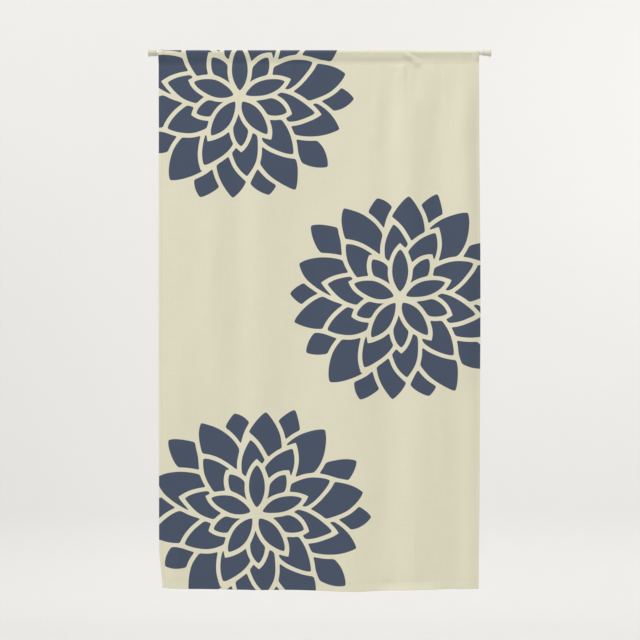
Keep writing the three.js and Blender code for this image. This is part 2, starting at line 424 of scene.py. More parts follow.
class NorenStageSettings(bpy.types.PropertyGroup):
    """The plain studio and its light"""

    floor_level: bpy.props.FloatProperty(
        name="Floor level",
        description="Height of the floor, from the rod's axis",
        default=-2.3,
        unit="LENGTH",
    )
    backdrop_distance: bpy.props.FloatProperty(
        name="Backdrop distance",
        description="From the cloth back to the backdrop",
        default=3.0,
        unit="LENGTH",
    )
    backdrop: bpy.props.FloatVectorProperty(
        name="Backdrop",
        description="Colour of the floor and backdrop",
        default=(0.82, 0.815, 0.80),
        subtype="COLOR",
    )
    camera_distance: bpy.props.FloatProperty(
        name="Camera distance",
        description="From the camera to the cloth",
        default=2.6,
        unit="LENGTH",
    )
    key_power: bpy.props.FloatProperty(
        name="Key power",
        description="Power of the large soft light at the left",
        default=1012.0,
        unit="POWER",
    )
    fill_power: bpy.props.FloatProperty(
        name="Fill power",
        description="Power of the soft light at the right",
        default=80.0,
        unit="POWER",
    )
    backdrop_power: bpy.props.FloatProperty(
        name="Backdrop power",
        description="Power of the light on the backdrop",
        default=24.0,
        unit="POWER",
    )
    sky: bpy.props.FloatProperty(
        name="Sky",
        description="Strength of the even light from all round",
        default=0.19,
        min=0.0,
    )


# Shared sums on whole arrays


def smooth(t):
    """0 below 0, 1 above 1, and 3t^2 - 2t^3 between."""
    k = np.clip(t, 0.0, 1.0)
    return k * k * (3.0 - 2.0 * k)


def mound(distance, width):
    """A bell of height 1: exp of minus the square of distance over width."""
    return np.exp(-((distance / width) ** 2))


def blend(a, b, t):
    """a where t is 0, b where t is 1, and the straight line between."""
    return a + (b - a) * t


def table_curve(table, share):
    """A table's value at each share, in metres, eased smoothly from row to row."""
    places = np.array([row[0] for row in table])
    values = np.array([row[1] for row in table]) * MM
    nearest = np.clip(np.searchsorted(places, share, side="left"), 1, len(places) - 1)
    low, high = places[nearest - 1], places[nearest]
    return blend(values[nearest - 1], values[nearest], smooth((share - low) / (high - low)))


def along_rod(across, below):
    """X of a point of the cloth: its place across, drawn in or out by the uneven side edges."""
    share = np.clip(below / PANEL_DROP, 0.0, 1.0)
    left = table_curve(LEFT_EDGE, share)
    right = table_curve(RIGHT_EDGE, share)
    return CLOTH_LEFT + blend(left, CLOTH_WIDTH - right, across / CLOTH_WIDTH)


def seam_level(across):
    """How far below the rod's axis the sleeve is sewn: it slants a little down to the left."""
    return SEAM_LEVEL + SEAM_SLANT * (1.0 - 2.0 * across / CLOTH_WIDTH)


def height_at(across, below):
    """Z of a point of the panel: straight down from the slanting seam, with dips growing towards the hem."""
    share = below / PANEL_DROP
    dip = sum(row["drop"] * mound(across - row["across"], row["width"]) for row in HEM_DIPS)
    return -blend(seam_level(across), SEAM_LEVEL, share) - below - dip * share


def crease_rise(across, height):
    """How far the listed creases lift the cloth: a bell across each crease, eased out at its two ends."""
    rise = np.zeros(np.broadcast(across, height).shape)
    for row in CREASES:
        start, way = row["start"], row["end"] - row["start"]
        length = np.hypot(*way)
        along = ((across - start[0]) * way[0] + (height - start[1]) * way[1]) / length**2
        aside = ((across - start[0]) * way[1] - (height - start[1]) * way[0]) / length
        ends = smooth(along / CREASE_EASE + 0.5) * smooth((1.0 - along) / CREASE_EASE + 0.5)
        rise = rise + row["rise"] * ends * mound(aside, row["width"])
    return rise


def fold_rise(across, below):
    """How far the panel stands forward: a bell across each fold, which leans, less the edges' curls."""
    rise = np.zeros(np.broadcast(across, below).shape)
    for fold in FOLDS:
        middle = fold["across"] + fold["lean"] * below / PANEL_DROP
        grown = smooth((below - fold["start"]) / FOLD_EASE)
        gone = smooth((below - fold["end"]) / FOLD_EASE)
        rise = rise + fold["rise"] * grown * (1.0 - gone) * mound(across - middle, fold["width"])
    for curls, inside in ((RIGHT_CURLS, CLOTH_WIDTH - across), (LEFT_CURLS, across)):
        for curl in curls:
            grown = smooth((below - curl["start"]) / FOLD_EASE)
            rise = rise - curl["back"] * grown * smooth(1.0 - inside / curl["reach"]) ** 2
    return rise


def ripple_rise(across, below):
    """Fine gathers that die away under the seam, and slow waves of a fraction of a millimetre all over."""
    gathers = sum(
        height * MM * np.sin(2.0 * math.pi * waves * across + phase) for waves, height, phase in SEAM_GATHERS
    )
    waves = sum(
        height * MM * np.sin(2.0 * math.pi * (wide * across + tall * below) + phase)
        for wide, tall, height, phase in PANEL_WAVES
    )
    near_seam = smooth(below / GATHER_START) * np.exp(-np.maximum(below, 0.0) / GATHER_REACH)
    return gathers * near_seam + waves * smooth(below / WAVE_START)


# Meshes


def grid_faces(rows, columns, wrap_rows=False, wrap_columns=False):
    """The quads between neighbouring points of a grid, as an array of four indices each."""
    row = np.arange(rows if wrap_rows else rows - 1)[:, None] * columns
    column = np.arange(columns if wrap_columns else columns - 1)[None, :]
    next_row = (row + columns) % (rows * columns)
    next_column = (column + 1) % columns
    corners = (row + column, next_row + column, next_row + next_column, row + next_column)
    return np.stack(corners, axis=-1).reshape(-1, 4)


def mesh_object(name, points, faces, plan=None):
    """A smooth mesh at the origin, with a UV map where each point's place on the flat plan is given."""
    mesh = bpy.data.meshes.new(name)
    mesh.from_pydata(np.asarray(points).reshape(-1, 3).tolist(), [], [list(face) for face in faces])
    if plan is not None:
        corner = np.empty(len(mesh.loops), dtype=np.int32)
        mesh.loops.foreach_get("vertex_index", corner)
        layer = mesh.uv_layers.new(name="flat_plan")
        layer.data.foreach_set("uv", np.asarray(plan).reshape(-1, 2)[corner].ravel())
    mesh.shade_smooth()
    mesh.update()
    made = bpy.data.objects.new(name, mesh)
    bpy.context.scene.collection.objects.link(made)
    return made


def carry(piece, slot, *replaced):
    """Rides a piece on the part's one body and hides the nodes that it stands for."""
    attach(piece, "root")
    if replaced:
        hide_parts(*replaced)


def stations(marks, pitch):
    """Every mark in order, with evenly spaced places between them about a pitch apart."""
    marks = np.unique(np.round(np.asarray(marks, dtype=float), 7))
    places = [
        np.linspace(low, high, max(1, round((high - low) / pitch)), endpoint=False)
        for low, high in zip(marks[:-1], marks[1:])
    ]
    return np.concatenate([*places, marks[-1:]])


# The cloth


class ClothPlan:
    """How the cloth is turned at its edges: the places of its columns and rows, layer by layer.

    One layer is `layer` thick with `air` between layers. A hem is turned twice, so it is three layers thick:
    the panel, the part turned in, and the outer part. Depth is measured backwards from the panel's face.
    """

    def __init__(self, settings):
        self.layer = settings.thickness
        self.air = AIR_BETWEEN_LAYERS
        self.stack = 3.0 * self.layer + 2.0 * self.air
        self.turn = self.layer + 0.5 * self.air
        self.settings = settings

    def hem_profile(self, width):
        """A twice-turned hem from its raw edge to the start of the panel, as rows of place, depth and run.

        place is the distance from the folded edge, depth the printed face's depth behind the panel's face,
        and run the distance along the cloth from the folded edge, negative on the hem.
        """
        half = 0.5 * self.stack
        angle = np.linspace(0.0, math.pi, FOLD_STEPS + 1)
        inner = stations((width - self.turn - HEM_TURN_IN, width - self.turn), HEM_PITCH)
        outer = stations((half, width - self.turn), HEM_PITCH)[::-1]
        turned_depth = self.layer + self.air
        mid_depth = 2.0 * self.layer + 1.5 * self.air
        place = np.concatenate(
            [
                inner,
                width - self.turn + self.turn * np.sin(angle[1:-1]),
                outer,
                half - half * np.sin(angle[1:-1]),
            ]
        )
        depth = np.concatenate(
            [
                np.full(len(inner), turned_depth),
                mid_depth - self.turn * np.cos(angle[1:-1]),
                np.full(len(outer), self.stack),
                half + half * np.cos(angle[1:-1]),
            ]
        )
        steps = np.hypot(np.diff(np.append(place, half)), np.diff(np.append(depth, 0.0)))
        run = half - np.cumsum(steps[::-1])[::-1]
        return place, depth, run, half

    def columns(self):
        """Each column's place across, its face's depth, the stack's thickness and its place on the flat plan.

        Columns stand closer about the rod's step, where the sleeve puckers.
        """
        hem = self.settings.side_hem
        place, depth, run, start = self.hem_profile(hem)
        stitch = hem - STITCH_INSET
        marks = [start, stitch - DENT_SIDE, stitch, stitch + DENT_SIDE, hem, hem + HEM_THINS_OVER]
        marks += [CLOTH_WIDTH - mark for mark in marks]
        rod_step = TUBE_STEP + ROD_STEP_CLEAR - CLOTH_LEFT
        about_step = [rod_step + offset * MM for offset in STEP_COLUMNS]
        coarse = stations(marks + about_step, self.settings.column_pitch)
        fine = stations(about_step, STEP_PITCH)
        panel = np.unique(np.round(np.concatenate([coarse, fine]), 6))
        panel = panel[np.append(True, np.diff(panel) > LEAST_PITCH)]
        across = np.concatenate([place, panel, (CLOTH_WIDTH - place)[::-1]])
        face_depth = np.concatenate([depth, np.zeros(len(panel)), depth[::-1]])
        plan = np.concatenate([run, panel, (CLOTH_WIDTH - run)[::-1]])
        to_side = np.minimum(across, CLOTH_WIDTH - across)
        thick = blend(self.stack, self.layer, smooth((to_side - hem) / HEM_THINS_OVER))
        return across, face_depth, thick, plan

    def forward(self, across, below):
        """How far the panel's front stands forward of its flat plane, all folds and creases together."""
        rise = fold_rise(across, below) + crease_rise(across, -SEAM_LEVEL - below)
        rise = rise + ripple_rise(across, below)
        return self.settings.fold_strength * rise

    def stitch_dent(self, across, below):
        """How far the stitch lines draw the face in: a narrow trough along the seam and along each hem."""
        to_side = np.minimum(across, CLOTH_WIDTH - across) - (self.settings.side_hem - STITCH_INSET)
        to_bottom = (PANEL_DROP - below) - (self.settings.bottom_hem - STITCH_INSET)
        to_seam = below - SEAM_STITCH
        hems = mound(to_side, DENT_WIDTH) + mound(to_bottom, DENT_WIDTH)
        return DENT_DEPTH * (hems + SEAM_DENT * mound(to_seam, DENT_WIDTH))

    def hung(self, across, below, depth, dented):
        """Points of the hanging cloth at a depth: x along the rod, z down from the seam.

        y is forward by the folds and back by the depth, and by the stitches' dent where the face is dented.
        """
        dent = self.stitch_dent(across, below) * dented
        y = -self.layer - self.forward(across, below) + dent + depth
        return np.stack(np.broadcast_arrays(along_rod(across, below), y, height_at(across, below)), axis=-1)


def hem_block(plan, columns):
    """The bottom hem, from the panel's end round the folded edge, up its back and in at its top.

    Around each fold the face runs on a half circle whose radius is less by the face's own depth.
    """
    across, face_depth, thick, _ = columns
    stack = 3.0 * thick + 2.0 * plan.air
    half, turn = 0.5 * stack, thick + 0.5 * plan.air
    top = plan.settings.bottom_hem
    angle = np.linspace(0.0, math.pi, FOLD_STEPS + 1)[:, None]
    up = np.linspace(0.0, 1.0, HEM_ROWS + 1)[1:, None]
    down = np.linspace(0.0, 1.0, TURN_ROWS + 1)[1:, None]
    lifts = [
        half - (half - face_depth) * np.sin(angle),
        blend(half, top - turn, up),
        top - turn + (turn - face_depth) * np.sin(angle[1:]),
        top - turn - HEM_TURN_IN * down,
    ]
    depths = [
        half - (half - face_depth) * np.cos(angle),
        np.broadcast_to(stack - face_depth, (len(up), len(across))),
        2.0 * thick + 1.5 * plan.air + (turn - face_depth) * np.cos(angle[1:]),
        np.broadcast_to(thick + plan.air + face_depth, (len(down), len(across))),
    ]
    depth = np.concatenate(depths)
    return plan.hung(across, PANEL_DROP - np.concatenate(lifts), depth, depth < 0.5 * stack)


def tube_radius(x):
    """The rod's radius under the cloth, easing from the thick tube to the thin one just past the step."""
    passed = (x - TUBE_STEP - ROD_STEP_CLEAR) / ROD_STEP_LENGTH
    return blend(THICK_RADIUS, THIN_RADIUS, smooth(passed))


def slope_slack(across):
    """How far the sleeve's sloping layers belly out between the rod and the seam.

    Over the thick tube they belly out, past its end the weight draws them in, and waves make them uneven.
    """
    past_step = smooth((across + CLOTH_LEFT - TUBE_STEP + SLACK_LEAD) / SLACK_CHANGE)
    uneven = sum(
        height * MM * np.sin(2.0 * math.pi * count * across + phase) for count, height, phase in SLACK_WAVES
    )
    return blend(THICK_SLACK, THIN_SLACK, past_step) + uneven


def sleeve_block(plan, columns):
    """The sleeve, from the turned-in edge behind the panel, up the back, over the rod and down the front.

    Its section is a teardrop: two straight layers tangent to a circle about the rod's axis, which meet just
    above the seam. The face stands off the inner surface by the stack's thickness less its own depth.
    """
    across, face_depth, thick, _ = columns
    air = plan.air
    x = along_rod(across, np.zeros_like(across))
    seam = seam_level(across)
    meet = seam - SEAM_MARGIN
    inside = tube_radius(x) + ROD_CLEARANCE
    tangent = np.arccos(inside / meet)
    off = thick - face_depth
    turn = thick + 0.5 * air
    back_depth = 3.0 * thick + 2.0 * air - face_depth

    # The back layer's lower end, sewn behind the panel with its edge turned in
    down = np.linspace(1.0, 0.0, TURN_ROWS + 1)[:, None]
    angle = np.linspace(math.pi, 0.0, FOLD_STEPS + 1)[1:, None]
    up = np.linspace(0.0, 1.0, TURN_ROWS + 1)[1:, None]
    edge = -(seam + TAIL_BELOW_SEAM) + turn
    tail_z = np.concatenate(
        [
            edge + TAIL_TURN_IN * np.broadcast_to(down, (len(down), len(across))),
            edge - (turn - face_depth) * np.sin(angle),
            blend(edge, -meet - MEET_GAP, up),
        ]
    )
    tail_depth = np.concatenate(
        [
            np.broadcast_to(thick + air + face_depth, (len(down), len(across))),
            2.0 * thick + 1.5 * air + (turn - face_depth) * np.cos(angle),
            np.broadcast_to(back_depth, (len(up), len(across))),
        ]
    )
    tail_y = -plan.layer + tail_depth

    # Up the back, round the top and down the front
    side = np.linspace(0.0, 1.0, SLOPE_STEPS + 1)[1:-1, None]
    theta = blend(2.0 * math.pi - tangent, tangent, np.linspace(0.0, 1.0, ARC_STEPS + 1)[:, None])
    slack = slope_slack(across)
    back_y = np.sin(tangent) * (inside * side + off) + slack * np.sin(math.pi * side) * BACK_SLACK
    back_y = blend(back_y, -plan.layer + back_depth, smooth(1.0 - BACK_JOINS * side))
    back_z = blend(-meet, -inside * np.cos(tangent), side) - np.cos(tangent) * off
    arc_y = -np.sin(theta) * (inside + off)
    arc_z = -np.cos(theta) * (inside + off)
    fall = side[::-1]
    front_off = blend(plan.layer, thick, smooth(FRONT_JOINS * fall)) - face_depth
    front_y = -np.sin(tangent) * (inside * fall + front_off) - slack * np.sin(math.pi * fall)
    front_z = blend(-meet, -inside * np.cos(tangent), fall) - np.cos(tangent) * front_off
    y = np.concatenate([tail_y, back_y, arc_y, front_y])
    z = np.concatenate([tail_z, back_z, arc_z, front_z])

    # The creases run on over the sleeve's front, and the back layer goes with the panel that it is sewn to
    run = np.hypot(np.diff(y, axis=0, append=y[-1:]), np.diff(z, axis=0, append=z[-1:]))
    height = -SEAM_LEVEL + SEAM_MARGIN + np.cumsum(run[::-1], axis=0)[::-1]
    y = y - crease_rise(across, height) * (height < SLEEVE_CREASE_REACH) * plan.settings.fold_strength
    behind = np.arange(len(z))[:, None] < len(tail_z) + len(back_z)
    follows = smooth(FOLLOW_START - (z + seam) / FOLLOW_REACH) * behind
    y = y - plan.forward(across, -z - seam) * follows
    return np.stack(np.broadcast_arrays(x, y, z), axis=-1)


def flat_rows(points, seam_row):
    """Each row's height on the flat plan: the way along the middle column, nought at the rod's axis."""
    middle = points[:, points.shape[1] // 2]
    steps = np.linalg.norm(np.diff(middle[:, 1:], axis=0), axis=1)
    run = np.concatenate([[0.0], np.cumsum(steps)])
    return -(run - run[seam_row]) - SEAM_LEVEL


def cloth_surface(settings):
    """The printed face of the whole cloth as one grid, each point's place on the flat plan, and its plan."""
    plan = ClothPlan(settings)
    columns = plan.columns()
    across, face_depth = columns[:2]
    stitch = PANEL_DROP - (settings.bottom_hem - STITCH_INSET)
    marks = [row * MM for row in SEAM_ROWS] + [stitch - DENT_SIDE, stitch, stitch + DENT_SIDE]
    below = stations(marks + [PANEL_DROP - 0.5 * plan.stack - LAST_ROW_ABOVE_FOLD], settings.row_pitch)
    sleeve = sleeve_block(plan, columns)
    panel = plan.hung(across, below[:, None], face_depth, face_depth < 0.5 * plan.stack)
    points = np.concatenate([sleeve, panel, hem_block(plan, columns)])
    seam_row = len(sleeve) + int(np.argmin(np.abs(below)))
    u = np.broadcast_to(columns[3], points.shape[:2])
    v = np.broadcast_to(flat_rows(points, seam_row)[:, None], points.shape[:2])
    return points, np.stack([u, v], axis=-1), plan


# Node helpers


class Field:
    """What one output of a node gives over a surface. Sums on a number's field add Math nodes."""

    def __init__(self, tree, socket):
        self.tree = tree
        self.socket = socket

    def __add__(self, other):
        return maths(self.tree, "ADD", self, other)

    def __radd__(self, other):
        return maths(self.tree, "ADD", other, self)

    def __sub__(self, other):
        return maths(self.tree, "SUBTRACT", self, other)

    def __mul__(self, other):
        return maths(self.tree, "MULTIPLY", self, other)

    def __truediv__(self, other):
        return maths(self.tree, "DIVIDE", self, other)


def feed(tree, socket, value):
    """Links a field to a socket, or sets the socket to a plain value."""
    if isinstance(value, Field):
        tree.links.new(value.socket, socket)
    else:
        socket.default_value = value


def feed_named(tree, node, sockets):
    """Feeds a node's sockets, whose names have their spaces written as underscores."""
    for name, value in sockets.items():
        feed(tree, node.inputs[name.replace("_", " ")], value)


def put(tree, kind, inputs=None, out=0, **values):
    """Adds a node and gives one output: inputs are fed by name or number, and values are its settings."""
    node = tree.nodes.new(kind)
    for name, value in values.items():
        setattr(node, name, value)
    for name, value in (inputs or {}).items():
        feed(tree, node.inputs[name], value)
    return Field(tree, node.outputs[out])


def parts_of(field, kind="ShaderNodeSeparateXYZ"):
    """A vector's or a colour's three parts."""
    node = field.tree.nodes.new(kind)
    feed(field.tree, node.inputs[0], field)
    return [Field(field.tree, output) for output in node.outputs]


def maths(tree, operation, *values):
    """A Math node's result."""
    return put(tree, "ShaderNodeMath", dict(enumerate(values)), operation=operation)


def vectors(tree, operation, *values, out="Vector"):
    """A Vector Math node's result."""
    return put(tree, "ShaderNodeVectorMath", dict(enumerate(values)), out, operation=operation)


def between(value, low, high, start=0.0, end=1.0, how="LINEAR"):
    """A value mapped from low..high to start..end and held there."""
    inputs = {0: value, 1: low, 2: high, 3: start, 4: end}
    return put(value.tree, "ShaderNodeMapRange", inputs, interpolation_type=how)


MIX_SOCKETS = {"FLOAT": (2, 3, 0), "VECTOR": (4, 5, 1), "RGBA": (6, 7, 2)}


def mixed(kind, factor, first, second):
    """Two numbers, vectors or colours mixed by a factor."""
    low, high, out = MIX_SOCKETS[kind]
    return put(factor.tree, "ShaderNodeMix", {0: factor, low: first, high: second}, out, data_type=kind)


def noise(point, scale, detail=2.0, roughness=0.5, out="Fac"):
    """A noise texture's value or colour at a point."""
    inputs = {"Vector": point, "Scale": scale, "Detail": detail, "Roughness": roughness}
    return put(point.tree, "ShaderNodeTexNoise", inputs, out)


def object_place(tree):
    """A point's own place on the object."""
    return put(tree, "ShaderNodeTexCoord", out="Object")


def plan_place(tree):
    """A point's place on the cloth's flat plan."""
    return put(tree, "ShaderNodeUVMap", uv_map="flat_plan")


FLOAT, VECTOR = "NodeSocketFloat", "NodeSocketVector"


def new_group(name, inputs, outputs):
    """An empty shader node group: inputs are named kinds with defaults, and its outputs are numbers."""
    tree = bpy.data.node_groups.new(name, "ShaderNodeTree")
    for label, (kind, default) in inputs.items():
        socket = tree.interface.new_socket(label, in_out="INPUT", socket_type=kind)
        if default is not None:
            socket.default_value = default
    for label in outputs:
        tree.interface.new_socket(label, in_out="OUTPUT", socket_type=FLOAT)
    source = tree.nodes.new("NodeGroupInput").outputs
    given = {label: Field(tree, source[label]) for label in inputs}
    return tree, given, tree.nodes.new("NodeGroupOutput").inputs


def use_group(tree, group, **inputs):
    """Places a group in a tree and gives its outputs by name."""
    node = tree.nodes.new("ShaderNodeGroup")
    node.node_tree = group
    feed_named(tree, node, inputs)
    return {output.name: Field(tree, output) for output in node.outputs}


def rgba(colour):
    """A colour property as four numbers."""
    return (*colour, 1.0)


# Node groups


def petal_ring_group():
    """Draws one ring of petals over what lies behind it.

    A petal is the overlap of two equal circles: its edge's distance is the square root of along squared
    plus (aside plus the circles' offset) squared, less their radius. Round each petal a bare line of even
    width is cut from the rings behind, drawn out to a point at the tip. Distances are in metres and
    negative inside ink.
    """
    inputs = {
        "Point": (VECTOR, None),
        "Behind": (FLOAT, 1.0),
        "Turn": (FLOAT, 0.0),
        "Base": (FLOAT, 0.0),
        "Tip": (FLOAT, 0.2),
        "Half width": (FLOAT, 0.03),
        "Line": (FLOAT, BLOOM_LINE),
        "Rounding": (FLOAT, PETAL_ROUNDING),
        "Uneven": (FLOAT, 1.0),
        "Seed": (FLOAT, 0.0),
    }
    tree, given, result = new_group("Petal ring", inputs, ["Ink"])
    pitch = 2.0 * math.pi / PETALS_PER_RING
    right, above, _ = parts_of(given["Point"])
    radius = vectors(tree, "LENGTH", given["Point"], out="Value")
    angle = maths(tree, "ARCTAN2", above, right) - given["Turn"]
    sector = maths(tree, "ROUND", angle / pitch)
    number = maths(tree, "FLOORED_MODULO", sector, PETALS_PER_RING) + given["Seed"] * SEED_STEP
    chance = put(tree, "ShaderNodeTexWhiteNoise", {"W": number}, "Color", noise_dimensions="1D")
    chances = parts_of(chance, "ShaderNodeSeparateColor")

    def swing(index, reach):
        return (chances[index] - 0.5) * reach * given["Uneven"]

    own = angle - sector * pitch - swing(0, DIRECTION_SWING)
    tip = given["Tip"] * (1.0 + swing(1, LENGTH_SWING))
    half = given["Half width"] * (1.0 + swing(2, WIDTH_SWING))
    along = radius * maths(tree, "COSINE", own)
    aside = radius * maths(tree, "SINE", own)
    reach = (tip - given["Base"]) * 0.5
    middle = (tip + given["Base"]) * 0.5
    circle = (reach * reach + half * half) / (half * 2.0)
    offset = circle - half
    from_middle = along - middle
    soft_aside = maths(tree, "SQRT", aside * aside + given["Rounding"] * given["Rounding"])

    def edge_distance(sideways):
        reach_out = sideways + offset
        return maths(tree, "SQRT", from_middle * from_middle + reach_out * reach_out) - circle

    edge = edge_distance(soft_aside)
    bare = given["Line"] - edge_distance(maths(tree, "ABSOLUTE", aside))
    kept = maths(tree, "SMOOTH_MAX", given["Behind"], bare, given["Rounding"] * LINE_BLEND)
    feed(tree, result["Ink"], maths(tree, "MINIMUM", kept, edge))
    return tree


def bloom_print_group(ring):
    """The whole print on the flat plan: one bloom drawn ring by ring, outermost first, at three places.

    Each point is measured from the nearest bloom's centre, and slow noise bends the drawing a little, so
    that no edge is a perfect arc. The outer rings are a little wider across than up. In the two woven rings
    each petal lies over the next one round.
    """
    tree, given, result = new_group("Bloom print", {"Point": (VECTOR, None)}, ["Ink"])
    points = [vectors(tree, "SUBTRACT", given["Point"], (u, v, 0.0)) for u, v in BLOOM_CENTRES]
    lengths = [vectors(tree, "LENGTH", point, out="Value") for point in points]
    point, nearest = points[0], lengths[0]
    for other, length in zip(points[1:], lengths[1:]):
        point = mixed("VECTOR", maths(tree, "LESS_THAN", length, nearest), point, other)
        nearest = maths(tree, "MINIMUM", nearest, length)
    bend = vectors(tree, "SUBTRACT", noise(point, BEND_SCALE, detail=1.0, out="Color"), (0.5, 0.5, 0.5))
    point = vectors(tree, "ADD", point, vectors(tree, "MULTIPLY", bend, BEND_REACH))

    def paint(behind, row, place=point):
        middle = (row["right"] * MM, row["above"] * MM, 0.0)
        return use_group(
            tree,
            ring,
            Point=vectors(tree, "SUBTRACT", place, middle),
            Behind=behind,
            Turn=math.radians(row["turn"]),
            Base=row["base"] * MM,
            Tip=row["tip"] * MM,
            Half_width=row["half"] * MM,
            Uneven=row["uneven"],
            Seed=row["turn"],
        )["Ink"]

    ink = 1.0
    spread = vectors(tree, "MULTIPLY", point, OUTER_SQUEEZE)
    for row in OUTER_RINGS:
        ink = paint(ink, row, spread)
    one, two = WOVEN_RINGS
    right, above, _ = parts_of(point)
    angle = maths(tree, "ARCTAN2", above, right) - math.radians(one["turn"])
    share = maths(tree, "FLOORED_MODULO", angle / (2.0 * math.pi / PETALS_PER_RING), 1.0)
    first_half = maths(tree, "LESS_THAN", share, 0.5)
    ink = mixed("FLOAT", first_half, paint(paint(ink, one), two), paint(paint(ink, two), one))
    for row in HEART_RINGS:
        ink = paint(ink, row)
    ragged = (noise(given["Point"], RAGGED_SCALE) - 0.5) * RAGGED_REACH
    feed(tree, result["Ink"], between(ink + ragged, -INK_EDGE, INK_EDGE, 1.0, 0.0, "SMOOTHSTEP"))
    return tree


def cotton_weave_group():
    """A plain weave of slubbed cotton on the flat plan.

    Threads run both ways a pitch apart, each a row of rounded humps, over and under in turn. Shade is the
    uneven thickness of single threads and slow clouds in the dye, as a value about one.
    """
    inputs = {"Point": (VECTOR, None), "Pitch": (FLOAT, 0.6 * MM), "Slub": (FLOAT, 1.0)}
    tree, given, result = new_group("Cotton weave", inputs, ["Height", "Shade"])
    right, above, _ = parts_of(given["Point"])
    waves = [maths(tree, "SINE", part / given["Pitch"] * math.pi) for part in (right, above)]
    over = between(waves[0] * waves[1], -HUMP_CROSSING, HUMP_CROSSING)
    humps = [maths(tree, "ABSOLUTE", wave) for wave in waves]
    weave = mixed("FLOAT", over, *humps)
    stretched = [vectors(tree, "MULTIPLY", given["Point"], scale) for scale in SLUB_SCALES]
    upright, level = (noise(point, 1.0, detail=3.0) for point in stretched)
    cloud = noise(given["Point"], CLOUD_SCALE, detail=3.0, roughness=0.6)
    threads = upright + level - 1.0
    shade = threads * SLUB_SHADE * given["Slub"] + (cloud - 0.5) * CLOUD_SHADE + 1.0
    feed(tree, result["Shade"], shade)
    feed(tree, result["Height"], weave + threads * SLUB_HEIGHT)
    return tree


def handling_group():
    """Faint smudges and dust on a hard surface: a colour factor, a roughness and a fine grain."""
    inputs = {
        "Point": (VECTOR, None),
        "Scale": (FLOAT, 60.0),
        "Roughness": (FLOAT, 0.4),
        "Amount": (FLOAT, 1.0),
    }
    tree, given, result = new_group("Handling", inputs, ["Shade", "Roughness", "Grain"])
    smudge = noise(given["Point"], given["Scale"], detail=4.0, roughness=0.6)
    swing = (smudge - 0.5) * given["Amount"]
    feed(tree, result["Shade"], 1.0 + swing * SMUDGE_SHADE)
    feed(tree, result["Roughness"], given["Roughness"] + swing * SMUDGE_ROUGHNESS)
    feed(tree, result["Grain"], noise(given["Point"], given["Scale"] * GRAIN_SCALE))
    return tree


def group(name):
    """A shared node group, built the first time it is asked for."""
    builders = {
        "Petal ring": petal_ring_group,
        "Bloom print": lambda: bloom_print_group(group("Petal ring")),
        "Cotton weave": cotton_weave_group,
        "Handling": handling_group,
    }
    return bpy.data.node_groups.get(name) or builders[name]()


# Materials


def new_material(name, **sockets):
    """A material, its tree and its shader: constants go straight on the shader's own sockets."""
    material = bpy.data.materials.new(name)
    material.use_nodes = True
    tree = material.node_tree
    shader = tree.nodes["Principled BSDF"]
    feed_named(tree, shader, sockets)
    return material, tree, shader


def shaded(colour, shade):
    """A colour made lighter or darker by a value about one."""
    plain = colour if isinstance(colour, Field) else tuple(colour)[:3]
    return put(shade.tree, "ShaderNodeVectorMath", {0: plain, "Scale": shade}, operation="SCALE")


def relief(height, distance, strength=1.0):
    """The normal of a surface bumped by a height, in metres of relief."""
    inputs = {"Height": height, "Distance": distance, "Strength": strength}
    return put(height.tree, "ShaderNodeBump", inputs)


def printed(ink, strength, ground, ink_colour):
    """Cloth or thread coloured by the ink that it took."""
    return mixed("RGBA", ink * strength, rgba(ground), rgba(ink_colour))


def cotton_material(name, settings, ink_strength, ground_shade):
    """One side of the printed cotton: ground and ink on the flat plan, shaded and raised by the weave."""
    sheen = {"Sheen_Weight": 0.12, "Sheen_Roughness": 0.5, "Specular_IOR_Level": 0.25}
    material, tree, shader = new_material(name, **sheen)
    point = plan_place(tree)
    ink = use_group(tree, group("Bloom print"), Point=point)["Ink"]
    weave = use_group(tree, group("Cotton weave"), Point=point, Pitch=settings.thread_pitch)
    ground = tuple(part * ground_shade for part in settings.ground)
    colour = shaded(printed(ink, ink_strength, ground, settings.ink), weave["Shade"])
    normal = relief(weave["Height"], WEAVE_RELIEF, WEAVE_STRENGTH)
    rough = between(ink, 0.0, 1.0, GROUND_ROUGHNESS, INK_ROUGHNESS)
    feed_named(tree, shader, {"Base_Color": colour, "Roughness": rough, "Normal": normal})
    return material


def handled_material(name, colour, scale, roughness, grain=None, amount=1.0, ink_colour=None, **sockets):
    """An even colour with faint smudges and a fine grain, and with the print over it in an ink colour."""
    material, tree, shader = new_material(name, **sockets)
    finish = use_group(
        tree, group("Handling"), Point=object_place(tree), Scale=scale, Roughness=roughness, Amount=amount
    )
    if ink_colour is not None:
        ink = use_group(tree, group("Bloom print"), Point=plan_place(tree))["Ink"]
        colour = printed(ink, THREAD_INK, colour, ink_colour)
    feed(tree, shader.inputs["Base Color"], shaded(colour, finish["Shade"]))
    feed(tree, shader.inputs["Roughness"], finish["Roughness"])
    if grain is not None:
        feed(tree, shader.inputs["Normal"], relief(finish["Grain"], grain))
    return material


# Turned and sewn pieces


